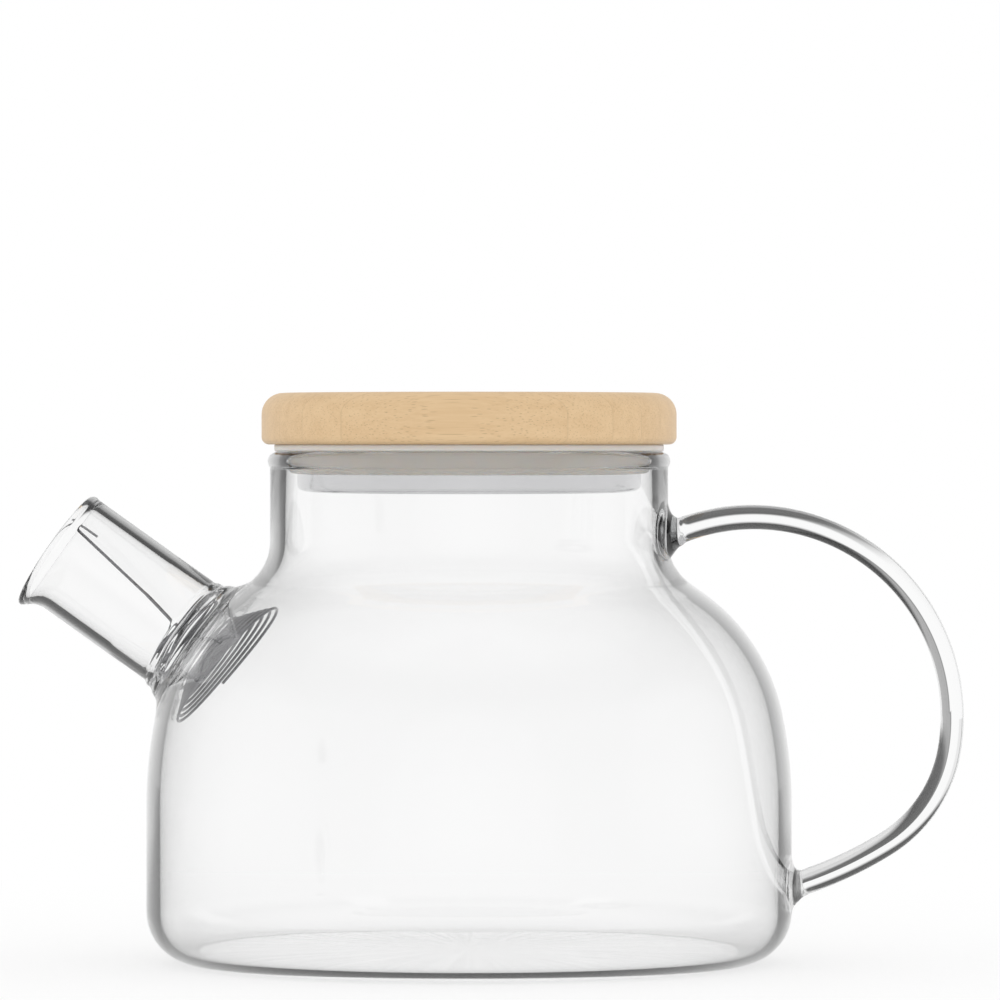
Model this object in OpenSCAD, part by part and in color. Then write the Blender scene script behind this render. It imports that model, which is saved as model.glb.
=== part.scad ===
// Blown glass teapot: a domed vessel with a wide straight neck, a short angled spout,
// a solid rod handle, a sprung wire strainer in the spout, and a bamboo lid with a
// steel cup and a silicone seal.
// Origin: centre of the flat base. +Z up, spout towards -X, handle towards +X.

/* [Vessel] */
// Largest outer diameter of the body
body_d = 137.8; // [134:0.2:142]
// Height of the rim above the table
rim_z = 109; // [107:0.5:114]
// Outer diameter of the straight neck
neck_d = 85; // [83.6:0.2:86]
// Wall thickness of the body and floor
body_wall = 2.8; // [2.4:0.1:3.0]
// Wall thickness of the neck
neck_wall = 3.2; // [3.0:0.1:3.4]
// Outer radius of the heel between floor and side
heel_r = 11; // [9:0.5:13]
// Radius of the round bead along the rim
bead_r = 2; // [1.8:0.1:2.2]

/* [Spout] */
// Angle of the spout above the horizontal
spout_pitch = 35.4; // [33:0.2:38]
// Length of the spout from the dome to its mouth
spout_len = 35.2; // [34:0.2:36.4]
// Outer diameter of the spout tube
spout_d = 25.6; // [25.2:0.2:26.2]
// Wall thickness of the spout tube
spout_wall = 2.2; // [2:0.1:2.4]
// How far the pouring lip stands out past the tube
lip_out = 2.4; // [1.8:0.1:2.6]

/* [Handle] */
// Diameter of the handle rod
rod_d = 5.4; // [5:0.1:6]
// Radius of the upper bow of the handle, at the rod's centre
bow_r = 42.3; // [42:0.1:42.6]

/* [Lid] */
// Diameter of the bamboo disc
lid_d = 88.6; // [88:0.2:91]
// Thickness of the bamboo disc
lid_t = 11; // [9:0.5:14]
// Outer diameter of the steel cup
cup_d = 73.6; // [72:0.2:74]
// How far the steel cup hangs below the bamboo
cup_drop = 10.5; // [9:0.5:12]
// Outer diameter of the silicone flange
seal_d = 83.2; // [82.8:0.2:84]
// Diameter of the silicone collar inside the neck
collar_d = 77.2; // [76.4:0.2:77.4]

/* [Strainer] */
// Diameter of the strainer wire
wire_d = 0.7; // [0.6:0.05:0.8]
// Turns of wire inside the spout
bore_turns = 5; // [4:1:6]
// Turns of wire in the flare behind the spout
flare_turns = 6; // [5:1:6]
// Radius of the widest strainer turn
flare_r = 17; // [15:0.5:17]

/* [Hidden] */
$fn = 96;
vessel_fn = 240;
eps = 0.01;

// Vessel profile, from the base up: heel, straight side, slow arc, dome arc, straight
// shoulder, concave arc into the neck. slow_a and dome_a are the angles from the side.
side_top = 33.6;
slow_r = 95;
slow_a = 12;
dome_r = 42;
dome_a = 54;
shoulder_r = 11;
arc_step = 3;

// Centre of the dome arc, which the spout's axis passes through
dome_cx = body_d / 2 - slow_r * (1 - cos(slow_a)) - dome_r * cos(slow_a);
dome_cz = side_top + (slow_r - dome_r) * sin(slow_a);
// Where the spout's axis leaves the dome, and its direction
spout_x = dome_cx + dome_r * cos(spout_pitch);
spout_z = dome_cz + dome_r * sin(spout_pitch);
spout_out_r = spout_d / 2;
bore_r = spout_out_r - spout_wall;

// Handle arcs in the XZ plane: the upper bow, the tight lower bend, the flat run home
bow_x = 60.7;
bow_z = 52.8;
bow_start = 109.8;
bow_end = -10;
bend_r = bow_r - 13;
bend_end = -58;
run_r = 84;
run_end = -71;
bend_x = bow_x + (bow_r - bend_r) * cos(bow_end);
bend_z = bow_z + (bow_r - bend_r) * sin(bow_end);
run_x = bend_x - (run_r - bend_r) * cos(bend_end);
run_z = bend_z - (run_r - bend_r) * sin(bend_end);
upper_weld_len = (bow_x + bow_r * cos(bow_start) - neck_d / 2) / sin(bow_start);
lower_weld_len = (run_x + run_r * cos(run_end) - body_d / 2) / sin(-run_end);
flare_to = 75;
upper_weld_r = 6.8;
lower_weld_r = 6;

// Heights of the lid when it is seated
seat_gap = 0.05;
flange_t = 1.5;
flange_z = rim_z + seat_gap;
lid_z = flange_z + flange_t;
lid_foot_r = 1.6;
lid_edge_r = 4.6;
cup_wall = 0.5;
cup_edge_r = 1.2;
cup_seat = 2.5;
collar_len = 5;
rib_r = 0.35;
rib_z = 0.9 - collar_len - flange_t;
vent_r = 1.05;
vent_a = 75;

// Strainer: depth and radius, from the spout's mouth, of each turn's start
coil_start = spout_len - 3.8;
coil_start_r = 9;
coil_start_turn = -18;
coil_end = spout_len + 5;
coil_end_r = 9.9;
flare_end = spout_len + 9.4;
// Hook over the mouth: its angle, radii inside and outside, and depths of foot, top and leg
hook_turn = 27;
hook_r = 9.8;
hook_out_r = spout_out_r + 0.9;
hook_foot = 1;
hook_rise = 1.4;
hook_leg = 5.2;
lead_in = 3;
wire_sides = 6;

// Points on an arc in the XZ plane
function arc_points(cx, cz, r, from, to) =
    let(n = max(2, ceil(abs(to - from) / arc_step)))
    [for (i = [0:n]) let(a = from + (to - from) * i / n) [cx + r * cos(a), cz + r * sin(a)]];

// Right-hand side of the vessel's section, set in from the outside by the wall thickness
function vessel_side(wall, throat_wall, top) =
    let(side = body_d / 2 - wall,
        heel = heel_r - wall,
        throat = neck_d / 2 - throat_wall,
        concave = shoulder_r + wall,
        dome_end = [dome_cx + (dome_r - wall) * cos(dome_a), dome_cz + (dome_r - wall) * sin(dome_a)],
        run = dome_end[0] - (throat + concave * (1 - cos(dome_a))),
        neck_cz = dome_end[1] + run / tan(dome_a) + concave * sin(dome_a))
    concat(
        [[0, wall]],
        arc_points(side - heel, heel_r, heel, -90, 0),
        arc_points(side - slow_r + wall, side_top, slow_r - wall, 0, slow_a),
        arc_points(dome_cx, dome_cz, dome_r - wall, slow_a, dome_a),
        arc_points(throat + concave, neck_cz, concave, 180 + dome_a, 180),
        [[throat, top], [0, top]]);

// The space that the vessel's outside encloses
module vessel_space() {
    rotate_extrude($fn = vessel_fn) polygon(vessel_side(0, 0, rim_z - bead_r));
}

// Places children at the spout's root with +Z pointing out of the mouth
module at_spout(along = 0) {
    translate([-spout_x, 0, spout_z])
        rotate([0, spout_pitch - 90, 0])
            translate([0, 0, along]) children();
}

// A gob of glass that flares from the rod's end to the vessel's wall, len away
module weld_gob(x, z, aim, len, foot) {
    spread = (foot - rod_d / 2) / (1 - cos(flare_to));
    difference() {
        translate([x, 0, z])
            rotate([0, aim, 0])
                rotate_extrude() polygon(concat(
                    [[0, 0]],
                    [for (a = [0:arc_step * 5:flare_to]) [rod_d / 2 + spread * (1 - cos(a)), len * sin(a)]],
                    [[foot, 2 * len], [0, 2 * len]]));
        vessel_space();
    }
}

// Sweeps a round rod or wire along a path, with the rings square to it
module sweep(path, d, sides) {
    last = len(path) - 1;
    function unit(v) = v / norm(v);
    function heading(i) = unit(path[min(last, i + 1)] - path[max(0, i - 1)]);
    function across(t) = unit(cross(t, abs(t[2]) < 0.9 ? [0, 0, 1] : [1, 0, 0]));
    // Each ring's first direction is the one before it, squared to the new heading
    sideways = [for (i = 0, s = across(heading(0)); i <= last;
        i = i + 1, s = i > last ? s : unit(s - (s * heading(i)) * heading(i))) s];
    points = [for (i = [0:last]) let(u = sideways[i], v = cross(heading(i), u))
        for (k = [0:sides - 1]) path[i] + d / 2 * (cos(k * 360 / sides) * u + sin(k * 360 / sides) * v)];
    faces = concat(
        [[for (k = [sides - 1:-1:0]) k]],
        [[for (k = [0:sides - 1]) last * sides + k]],
        [for (i = [0:last - 1]) for (k = [0:sides - 1])
            [i * sides + k, i * sides + (k + 1) % sides, (i + 1) * sides + (k + 1) % sides, (i + 1) * sides + k]]);
    polyhedron(points, [for (f = faces) [for (k = [len(f) - 1:-1:0]) f[k]]]);
}

// A point in the spout's own frame: distance from the axis, angle from +Y, depth from the mouth
function spout_point(r, turn, depth) = [r * sin(turn), r * cos(turn), spout_len - depth];

// A helix whose radius and depth grow evenly
function helix(turns, steps, r0, r1, d0, d1) =
    [for (i = [0:turns * steps]) let(s = i / (turns * steps))
        spout_point(r0 + (r1 - r0) * s, coil_start_turn - turns * 360 * s, d0 + (d1 - d0) * s)];

module glass_body() {
    color("gainsboro", 0.4) difference() {
        rotate_extrude($fn = vessel_fn) union() {
            difference() {
                polygon(vessel_side(0, 0, rim_z - bead_r));
                polygon(vessel_side(body_wall, neck_wall, rim_z));
            }
            translate([neck_d / 2 + 0.5 - bead_r, rim_z - bead_r]) circle(r = bead_r);
        }
        at_spout(-3 * body_wall) cylinder(h = 4 * body_wall, r = bore_r);
    }
}

module spout_tube() {
    bead = spout_wall / 2 + 0.15;
    mid_r = spout_out_r - spout_wall / 2;
    lip_h = 2.4;
    color("gainsboro", 0.4) union() {
        difference() {
            at_spout() rotate_extrude() union() {
                translate([bore_r, -6]) square([spout_wall, 6 + spout_len - bead]);
                translate([mid_r, spout_len - bead]) circle(r = bead);
            }
            vessel_space();
        }
        // The lower side of the mouth is drawn out into a lip
        at_spout(spout_len - lip_h - 0.2) difference() {
            translate([-lip_out, 0, 0])
                cylinder(h = lip_h, r1 = spout_out_r - lip_out - 0.4, r2 = spout_out_r);
            translate([0, 0, -1]) cylinder(h = lip_h + 2, r = mid_r);
        }
    }
}

module spout_weld() {
    fillet = 5.2;
    top = fillet - 1.8;
    color("gainsboro", 0.4) difference() {
        at_spout() rotate_extrude() difference() {
            translate([spout_out_r, -6]) square([fillet - 0.3, 6 + top]);
            translate([spout_out_r + fillet, fillet - 0.6]) circle(r = fillet);
        }
        vessel_space();
    }
}

module handle_rod() {
    // Short first and last steps keep the rod's ends square to its path
    short = 0.5;
    path = concat(
        arc_points(bow_x, bow_z, bow_r, bow_start, bow_start - short),
        arc_points(bow_x, bow_z, bow_r, bow_start - arc_step, bow_end),
        arc_points(bend_x, bend_z, bend_r, bow_end - arc_step, bend_end),
        arc_points(run_x, run_z, run_r, bend_end - arc_step, run_end + arc_step),
        arc_points(run_x, run_z, run_r, run_end + short, run_end));
    color("gainsboro", 0.4) sweep([for (p = path) [p[0], 0, p[1]]], rod_d, 16);
}

module handle_upper_weld() {
    color("gainsboro", 0.4)
        weld_gob(bow_x + bow_r * cos(bow_start), bow_z + bow_r * sin(bow_start),
                 -bow_start, upper_weld_len, upper_weld_r);
}

module handle_lower_weld() {
    color("gainsboro", 0.4)
        weld_gob(run_x + run_r * cos(run_end), run_z + run_r * sin(run_end),
                 180 - run_end, lower_weld_len, lower_weld_r);
}

module lid_disc() {
    color("burlywood") difference() {
        translate([0, 0, lid_z]) rotate_extrude() polygon(concat(
            [[0, 0]],
            arc_points(lid_d / 2 - lid_foot_r, lid_foot_r, lid_foot_r, -90, 0),
            arc_points(lid_d / 2 - lid_edge_r, lid_t - lid_edge_r, lid_edge_r, 0, 90),
            [[0, lid_t]]));
        // Groove that the steel cup is pressed into
        translate([0, 0, lid_z - eps]) difference() {
            cylinder(h = cup_seat + eps, d = cup_d);
            translate([0, 0, -1]) cylinder(h = cup_seat + 2, d = cup_d - 2 * cup_wall);
        }
    }
}

module lid_cup() {
    color("silver") translate([0, 0, lid_z - cup_drop]) rotate_extrude() difference() {
        polygon(concat(
            [[0, 0]],
            arc_points(cup_d / 2 - cup_edge_r, cup_edge_r, cup_edge_r, -90, 0),
            [[cup_d / 2, cup_drop + cup_seat], [0, cup_drop + cup_seat]]));
        polygon(concat(
            [[0, cup_wall]],
            arc_points(cup_d / 2 - cup_edge_r, cup_edge_r, cup_edge_r - cup_wall, -90, 0),
            [[cup_d / 2 - cup_wall, cup_drop + cup_seat + 1], [0, cup_drop + cup_seat + 1]]));
    }
}

module lid_seal() {
    color("whitesmoke") difference() {
        translate([0, 0, lid_z]) rotate_extrude() union() {
            translate([cup_d / 2, -flange_t]) square([(seal_d - cup_d) / 2, flange_t]);
            translate([cup_d / 2, -collar_len - flange_t]) square([(collar_d - cup_d) / 2, collar_len + eps]);
            translate([collar_d / 2, rib_z]) circle(r = rib_r, $fn = 24);
        }
        // Steam vent through the flange, just outside the collar
        rotate([0, 0, vent_a]) translate([collar_d / 2 + vent_r + 0.2, 0, flange_z - 1])
            cylinder(h = flange_t + 2, r = vent_r, $fn = 32);
    }
}

module strainer_tail() {
    half_bend = (hook_out_r - hook_r) / 2;
    start = spout_point(coil_start_r, coil_start_turn, coil_start);
    // The tail bends out of the first turn: first along it, then towards the hook
    along = start + lead_in * [cos(coil_start_turn), -sin(coil_start_turn), 0];
    foot = spout_point(hook_r, hook_turn, hook_foot);
    away = along + lead_in * (foot - along) / norm(foot - along);
    color("silver") at_spout() sweep(concat(
        [for (i = [0:6]) let(s = i / 6) (1 - s) * (1 - s) * start + 2 * s * (1 - s) * along + s * s * away],
        [foot],
        [for (a = [20:20:180])
            spout_point(hook_r + half_bend * (1 - cos(a)), hook_turn, hook_foot - hook_rise * sin(a))],
        [spout_point(hook_out_r, hook_turn, hook_leg)]), wire_d, wire_sides);
}

module strainer_coil() {
    color("silver") at_spout()
        sweep(helix(bore_turns, 24, coil_start_r, coil_end_r, coil_start, coil_end), wire_d, wire_sides);
}

module strainer_flare() {
    color("silver") at_spout()
        sweep(helix(flare_turns, 28, coil_end_r, flare_r, coil_end, flare_end), wire_d, wire_sides);
}

glass_body();
spout_tube();
spout_weld();
handle_rod();
handle_upper_weld();
handle_lower_weld();
lid_disc();
lid_cup();
lid_seal();
strainer_tail();
strainer_coil();
strainer_flare();
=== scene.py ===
"""Glass teapot: a blown vessel with a spout and rod handle, a wire strainer and a bamboo lid."""

import logging
import math
from dataclasses import dataclass, field
from enum import Enum
from typing import Callable, Iterable, Sequence

import bmesh
import bpy
from mathutils import Matrix, Vector, noise
from mathutils.bvhtree import BVHTree


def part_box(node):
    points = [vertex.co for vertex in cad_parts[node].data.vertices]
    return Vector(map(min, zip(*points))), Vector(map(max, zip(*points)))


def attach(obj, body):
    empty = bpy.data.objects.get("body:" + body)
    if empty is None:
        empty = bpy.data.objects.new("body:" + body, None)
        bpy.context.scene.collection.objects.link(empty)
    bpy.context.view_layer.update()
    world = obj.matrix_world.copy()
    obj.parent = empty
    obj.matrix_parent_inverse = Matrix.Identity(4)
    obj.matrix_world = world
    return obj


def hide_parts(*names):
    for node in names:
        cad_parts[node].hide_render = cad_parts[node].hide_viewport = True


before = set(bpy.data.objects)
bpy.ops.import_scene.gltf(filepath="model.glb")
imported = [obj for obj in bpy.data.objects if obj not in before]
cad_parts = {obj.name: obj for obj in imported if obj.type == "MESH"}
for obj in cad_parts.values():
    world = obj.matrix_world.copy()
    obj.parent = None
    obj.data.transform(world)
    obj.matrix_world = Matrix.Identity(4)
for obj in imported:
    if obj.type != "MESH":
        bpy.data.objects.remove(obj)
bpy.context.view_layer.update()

MM = 0.001
LOG = logging.getLogger("teapot")

Point = tuple[float, float]
Triple = tuple[float, float, float]
Socket = bpy.types.NodeSocket
Material = bpy.types.Material
Piece = bpy.types.Object
Mesh = bmesh.types.BMesh
Vert = bmesh.types.BMVert

WHITE = (1.0, 1.0, 1.0)


class Body(Enum):
    """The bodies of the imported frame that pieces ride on."""

    POT = "pot"
    LID = "lid"
    STRAINER = "strainer"


class Slot(Enum):
    """The record's material slots."""

    GLASS = "glass"
    BAMBOO = "bamboo"
    STEEL = "steel"
    SILICONE = "silicone"
    WIRE = "wire"


# ---- Node trees ----


class Tree:
    """A material's or a world's node tree, built up node by node."""

    def __init__(self, owner: bpy.types.ID) -> None:
        """Clear the owner's nodes.

        Args:
            owner: The material or world to build in.
        """
        owner.use_nodes = True
        self.nodes = owner.node_tree.nodes
        self.links = owner.node_tree.links
        self.nodes.clear()

    def add(self, kind: str, inputs: dict | None = None, **settings: object) -> bpy.types.Node:
        """Add a node.

        Args:
            kind: The node's type name, without its ShaderNode prefix.
            inputs: Values or output sockets, by input name or index.
            **settings: The node's own properties.

        Returns:
            The new node.
        """
        made = self.nodes.new("ShaderNode" + kind)
        for name, value in settings.items():
            setattr(made, name, value)
        for name, value in (inputs or {}).items():
            if isinstance(value, Socket):
                self.links.new(value, made.inputs[name])
            else:
                made.inputs[name].default_value = value
        return made

    def math(self, operation: str, a: object, b: object = 0.0) -> Socket:
        """Add a Math node and return its result.

        Args:
            operation: The Math node's operation.
            a: First value or socket.
            b: Second value or socket.

        Returns:
            The result's socket.
        """
        return self.add("Math", {0: a, 1: b}, operation=operation).outputs[0]

    def ramp(self, factor: Socket, stops: Sequence[Point]) -> Socket:
        """Add a ramp of greys.

        Args:
            factor: The socket that drives it.
            stops: Each stop's place and its grey level.

        Returns:
            The grey's socket.
        """
        made = self.add("ValToRGB", {0: factor})
        elements = made.color_ramp.elements
        while len(elements) < len(stops):
            elements.new(0.5)
        for element, (place, value) in zip(elements, stops):
            element.position = place
            element.color = (value, value, value, 1)
        return made.outputs[0]

    def mix(self, factor: object, a: object, b: object, blend: str = "MIX") -> Socket:
        """Mix two colours.

        Args:
            factor: Share of the second colour.
            a: First colour or socket.
            b: Second colour or socket.
            blend: The Mix node's blend type.

        Returns:
            The colour's socket.
        """
        a = a if isinstance(a, Socket) else (*a, 1)
        b = b if isinstance(b, Socket) else (*b, 1)
        return self.add("Mix", {0: factor, 6: a, 7: b}, data_type="RGBA", blend_type=blend).outputs[2]

    def coordinates(self, stretch: Triple = (1, 1, 1)) -> Socket:
        """Object coordinates, stretched.

        Args:
            stretch: Scale along each axis.

        Returns:
            The vector's socket.
        """
        source = self.add("TexCoord").outputs["Object"]
        return self.add("Mapping", {"Vector": source, "Scale": stretch}).outputs[0]

    def noise(self, vector: Socket, scale: float, detail: float = 3.0,
              roughness: float = 0.5) -> Socket:
        """Add a noise texture and return its factor.

        Args:
            vector: The coordinates.
            scale: Repeats per metre.
            detail: Octaves.
            roughness: Share of the fine octaves.

        Returns:
            The factor's socket.
        """
        values = {"Vector": vector, "Scale": scale, "Detail": detail, "Roughness": roughness}
        return self.add("TexNoise", values).outputs[0]

    def bump(self, height: Socket, strength: float, distance: float) -> Socket:
        """Add a bump and return its normal.

        Args:
            height: The height's socket.
            strength: From 0 to 1.
            distance: Height of the bump, in metres.

        Returns:
            The normal's socket.
        """
        return self.add("Bump", {"Height": height, "Strength": strength, "Distance": distance}).outputs[0]

    def surface(self, shader: bpy.types.Node, volume: bpy.types.Node | None = None) -> None:
        """Send shaders to the output.

        Args:
            shader: The surface's shader.
            volume: The inside's shader.
        """
        out = self.add("OutputMaterial", {"Surface": shader.outputs[0]})
        if volume is not None:
            self.links.new(volume.outputs[0], out.inputs["Volume"])


# ---- Finishes ----


class Finish:
    """A finish that dresses pieces. Each kind paints its own node tree."""

    name: str

    def build(self) -> Material:
        """Make the material.

        Returns:
            The material.
        """
        material = bpy.data.materials.new(self.name)
        self.paint(Tree(material))
        return material

    def paint(self, tree: Tree) -> None:
        """Fill the material's node tree.

        Args:
            tree: The node tree.
        """
        raise NotImplementedError


@dataclass(frozen=True)
class ClearGlass(Finish):
    """Fire-polished borosilicate glass, faintly grey through its length."""

    name: str = "clear_glass"
    ior: float = 1.47
    depth: float = 0.10
    grey: float = 0.5

    def paint(self, tree: Tree) -> None:
        """Paint glass that is clear but for a faint grey in its depth.

        Args:
            tree: The node tree.
        """
        shader = tree.add("BsdfPrincipled", {
            "Base Color": (1, 1, 1, 1), "Roughness": 0.0, "IOR": self.ior, "Transmission Weight": 1.0})
        inside = tree.add("VolumeAbsorption", {
            "Color": (self.grey, self.grey * 1.02, self.grey * 1.02, 1), "Density": 1 / self.depth})
        tree.surface(shader, inside)


@dataclass(frozen=True)
class Bamboo(Finish):
    """Sanded laminated bamboo: fibres along X, strips side by side along Y."""

    name: str
    light: Triple
    dark: Triple
    strip: float = 7.5 * MM
    fibre: float = 0.42 * MM
    contrast: float = 0.5

    def paint(self, tree: Tree) -> None:
        """Paint bands, fibres, pores and glue lines.

        Args:
            tree: The node tree.
        """
        # Fibres run the length of a strip, so they show as lines along it and dots at its end
        grain = tree.coordinates(stretch=(0.03, 1, 1))
        across = tree.add("SeparateXYZ", {0: tree.coordinates()}).outputs[1]
        strip_at = tree.math("FLOOR", tree.math("DIVIDE", across, self.strip))
        seed = tree.add("CombineXYZ", {0: 0.0, 1: tree.math("MULTIPLY", strip_at, 3.7), 2: 0.0}).outputs[0]
        shift = tree.add("VectorMath", {0: grain, 1: seed}, operation="ADD").outputs[0]
        strip_tone = tree.add("TexWhiteNoise", {"W": strip_at}, noise_dimensions="1D").outputs[0]
        fibres = tree.noise(shift, 1 / self.fibre, 2.0, 0.6)
        bands = tree.noise(shift, 0.16 / self.fibre, 3.0, 0.55)
        cells = {"Vector": shift, "Scale": 1.1 / self.fibre, "Randomness": 1.0}
        dots = tree.add("TexVoronoi", cells).outputs[0]
        pores = tree.ramp(dots, [(0.0, 1.0), (0.16, 0.75), (0.3, 0.0), (1.0, 0.0)])
        tone = tree.mix(bands, self.dark, self.light)
        tone = tree.mix(tree.math("MULTIPLY", strip_tone, 0.3), tone, self.light)
        lines = tree.ramp(fibres, [(0.0, 0.0), (0.42, 0.12), (0.6, 0.75), (1.0, 1.0)])
        tone = tree.mix(tree.math("MULTIPLY", lines, self.contrast), tone, self.light)
        pore_share = tree.math("MULTIPLY", pores, self.contrast)
        tone = tree.mix(pore_share, tone, tuple(c * 0.55 for c in self.dark))
        # Thin glue line where two strips meet
        within = tree.math("FRACT", tree.math("DIVIDE", across, self.strip))
        edge = tree.math("LESS_THAN", within, 0.025)
        tone = tree.mix(tree.math("MULTIPLY", edge, 0.14), tone, tuple(c * 0.5 for c in self.dark))
        height = tree.math("SUBTRACT", tree.math("MULTIPLY", fibres, 0.5), tree.math("MULTIPLY", pores, 0.5))
        rough = tree.math("ADD", tree.math("MULTIPLY", bands, 0.15), 0.42)
        shader = tree.add("BsdfPrincipled", {
            "Base Color": tone, "Roughness": rough, "IOR": 1.5, "Coat Weight": 0.08, "Coat Roughness": 0.3,
            "Normal": tree.bump(height, 0.35, 0.06 * MM)})
        tree.surface(shader)


@dataclass(frozen=True)
class TurnedSteel(Finish):
    """Stainless steel brushed in circles round the lid's axis."""

    name: str = "turned_steel"
    colour: Triple = (0.80, 0.80, 0.81)
    roughness: float = 0.46
    anisotropy: float = 0.35

    def paint(self, tree: Tree) -> None:
        """Paint fine rings, on a tangent round Z.

        Args:
            tree: The node tree.
        """
        place = tree.coordinates()
        parts = tree.add("SeparateXYZ", {0: place})
        radius = tree.math("SQRT", tree.math(
            "ADD", tree.math("POWER", parts.outputs[0], 2.0), tree.math("POWER", parts.outputs[1], 2.0)))
        rings = tree.add("TexNoise", {"W": tree.math("MULTIPLY", radius, 1 / (0.12 * MM)), "Detail": 4.0},
                         noise_dimensions="1D").outputs[0]
        cloud = tree.noise(place, 60.0, 2.0)
        tone = tree.mix(tree.math("MULTIPLY", rings, 0.16), self.colour, tuple(c * 0.86 for c in self.colour))
        rough = tree.math("ADD", tree.math("MULTIPLY", rings, 0.08), tree.math(
            "ADD", tree.math("MULTIPLY", cloud, 0.05), self.roughness - 0.06))
        tangent = tree.add("Tangent", direction_type="RADIAL", axis="Z").outputs[0]
        shader = tree.add("BsdfPrincipled", {
            "Base Color": tone, "Metallic": 1.0, "Roughness": rough, "Anisotropic": self.anisotropy,
            "Tangent": tangent, "Normal": tree.bump(rings, 0.12, 0.01 * MM)})
        tree.surface(shader)


@dataclass(frozen=True)
class BrightSteel(Finish):
    """Polished stainless steel with faint drawing marks."""

    name: str
    colour: Triple = (0.74, 0.74, 0.75)
    roughness: float = 0.14
    stretch: Triple = (1, 1, 30)

    def paint(self, tree: Tree) -> None:
        """Paint drawing marks as thin level lines.

        Args:
            tree: The node tree.
        """
        marks = tree.noise(tree.coordinates(stretch=self.stretch), 220.0, 4.0, 0.6)
        tone = tree.mix(marks, tuple(c * 0.9 for c in self.colour), self.colour)
        rough = tree.math("ADD", tree.math("MULTIPLY", marks, 0.1), self.roughness - 0.05)
        shader = tree.add("BsdfPrincipled", {
            "Base Color": tone, "Metallic": 1.0, "Roughness": rough,
            "Normal": tree.bump(marks, 0.08, 0.01 * MM)})
        tree.surface(shader)


@dataclass(frozen=True)
class MilkySilicone(Finish):
    """Soft translucent silicone with a satin skin, tinted warm beige as painted light from the bamboo seen
    through it.
    """

    name: str = "milky_silicone"
    # Milky white is the seal's own colour; its warm beige cast is painted light, the bamboo's colour seen
    # through it
    colour: Triple = (0.93, 0.87, 0.80)
    roughness: float = 0.38

    def paint(self, tree: Tree) -> None:
        """Paint a faint cloud over a soft inside.

        Args:
            tree: The node tree.
        """
        cloud = tree.noise(tree.coordinates(), 320.0, 3.0)
        tone = tree.mix(tree.math("MULTIPLY", cloud, 0.3), self.colour, tuple(c * 0.92 for c in self.colour))
        rough = tree.math("ADD", tree.math("MULTIPLY", cloud, 0.12), self.roughness - 0.06)
        shader = tree.add("BsdfPrincipled", {
            "Base Color": tone, "Roughness": rough, "IOR": 1.41, "Transmission Weight": 0.12,
            "Subsurface Weight": 0.6, "Subsurface Scale": 1.5 * MM, "Subsurface Radius": (1.0, 0.8, 0.6),
            "Normal": tree.bump(cloud, 0.1, 0.03 * MM)})
        tree.surface(shader)


# ---- Mesh helpers ----


def arc(cx: float, cz: float, r: float, start: float, end: float, step: float = 1.3 * MM) -> list[Point]:
    """Points along an arc, both ends included.

    Args:
        cx: Centre, across.
        cz: Centre, up.
        r: Radius.
        start: First angle, in degrees.
        end: Last angle, in degrees.
        step: Longest distance between two points.

    Returns:
        The points.
    """
    count = max(4, math.ceil(abs(math.radians(end - start)) * r / step))
    angles = [math.radians(start + (end - start) * i / count) for i in range(count + 1)]
    return [(cx + r * math.cos(a), cz + r * math.sin(a)) for a in angles]


def smoothstep(low: float, high: float, value: float) -> float:
    """An even rise from 0 at low to 1 at high.

    Args:
        low: Where it starts.
        high: Where it ends.
        value: Where it is asked for.

    Returns:
        The share, from 0 to 1.
    """
    share = min(1.0, max(0.0, (value - low) / (high - low)))
    return share * share * (3 - 2 * share)


def lathe(outline: Sequence[Point], steps: int, closed: bool = False) -> Mesh:
    """Spin an outline in the XZ plane about Z.

    Args:
        outline: Radius and height of each point; an open outline starts and ends on the axis.
        steps: Segments round the axis.
        closed: Whether the outline's last point joins its first.

    Returns:
        The closed mesh, faces outward.
    """
    bm = bmesh.new()
    verts = [bm.verts.new((r, 0, z)) for r, z in outline]
    ends = zip(verts, verts[1:] + verts[:1]) if closed else zip(verts, verts[1:])
    edges = [bm.edges.new(pair) for pair in ends]
    bmesh.ops.spin(bm, geom=verts + edges, cent=(0, 0, 0), axis=(0, 0, 1), dvec=(0, 0, 0),
                   angle=math.tau, steps=steps, use_merge=True)
    bmesh.ops.remove_doubles(bm, verts=bm.verts, dist=1e-7)
    bmesh.ops.recalc_face_normals(bm, faces=bm.faces)
    return bm


@dataclass(frozen=True)
class Station:
    """One ring of a loft: where it is, which way it faces and how wide it is."""

    centre: Vector
    facing: Vector
    radius: float


def loft(stations: Sequence[Station], side: Vector, segments: int = 32) -> Mesh:
    """Bridge rings into a closed rod.

    Args:
        stations: The rings, in order.
        side: A direction that no ring faces, which keeps the rings from twisting.
        segments: Points round each ring.

    Returns:
        The closed mesh, faces outward.
    """
    bm = bmesh.new()
    rings = []
    for i, station in enumerate(stations):
        z = station.facing.normalized()
        x = side.cross(z).normalized()
        turn = Matrix((x, z.cross(x), z)).transposed().to_4x4()
        made = bmesh.ops.create_circle(
            bm, cap_ends=i in (0, len(stations) - 1), segments=segments, radius=station.radius,
            matrix=Matrix.Translation(station.centre) @ turn)
        rings.append(made["verts"])
    for a, b in zip(rings, rings[1:]):
        inside = set(a), set(b)
        edges = [e for e in bm.edges if any(e.verts[0] in s and e.verts[1] in s for s in inside)]
        bmesh.ops.bridge_loops(bm, edges=edges)
    bmesh.ops.recalc_face_normals(bm, faces=bm.faces)
    return bm


def cylinder(radius: float, length: float, matrix: Matrix, segments: int) -> Mesh:
    """A closed cylinder along Z.

    Args:
        radius: Its radius.
        length: Its length.
        matrix: Where its middle goes.
        segments: Points round it.

    Returns:
        The mesh.
    """
    bm = bmesh.new()
    bmesh.ops.create_cone(bm, cap_ends=True, segments=segments, radius1=radius, radius2=radius,
                          depth=length, matrix=matrix)
    return bm


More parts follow.
